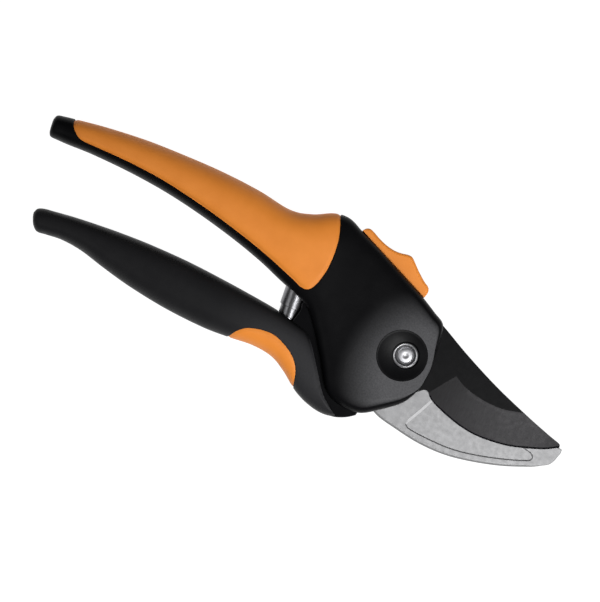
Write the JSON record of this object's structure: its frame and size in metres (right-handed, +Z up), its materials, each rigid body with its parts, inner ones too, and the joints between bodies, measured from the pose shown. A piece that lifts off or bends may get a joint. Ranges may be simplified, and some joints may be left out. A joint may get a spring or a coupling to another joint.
{
  "type": "bypass pruner",
  "caption": "Bypass pruner: hooked counter blade in a two-shell housing, cutting blade on the lower handle, volute return spring, soft grip and sliding thumb lock.",
  "frame": {"origin": "on the pivot's axis, at the surface that the closed tool lies on with its bolt head down", "axes": "+X along the tool to the blade's tip, +Y across it to the thumb lock, +Z up through the nut side"},
  "size_m": [0.2204, 0.0677, 0.022],
  "materials": {
    "black_nylon": "satin",
    "orange_soft_grip": "matte",
    "orange_lock": "satin",
    "hook_steel": "satin",
    "coated_blade": "satin",
    "chrome": "polished",
    "plain_steel": "satin",
    "washer_plastic": "satin",
    "bronze": "satin"
  },
  "bodies": {
    "upper_body": {"front_shell": "black_nylon", "rear_shell": "black_nylon", "upper_grip": "orange_soft_grip", "hook": "hook_steel", "hook_dowels": "plain_steel", "shell_screws": "plain_steel", "pivot_bolt": "chrome", "pivot_nut": "chrome", "bolt_washer": "plain_steel", "thrust_washer": "washer_plastic", "detent_leaf": "plain_steel"},
    "lower_lever": {"blade": "coated_blade", "blade_bushing": "bronze", "blade_rivets": "plain_steel", "lower_handle": "black_nylon", "lower_inlay": "orange_soft_grip", "return_spring": "chrome"},
    "lock_slider": {"thumb_lock": "orange_lock", "lock_plate": "plain_steel", "lock_pins": "plain_steel"}
  },
  "joints": [
    {"name": "handle_pivot", "type": "hinge", "parent": "upper_body", "child": "lower_lever", "pos_m": [0, 0, 0.0125], "axis": [0, 0, 1], "range_deg": [0, 26], "deforming": ["return_spring"]},
    {"name": "lock_slide", "type": "slide", "parent": "upper_body", "child": "lock_slider", "axis": [-0.9426, 0.3338, 0], "range_m": [0, 0.006]}
  ]
}
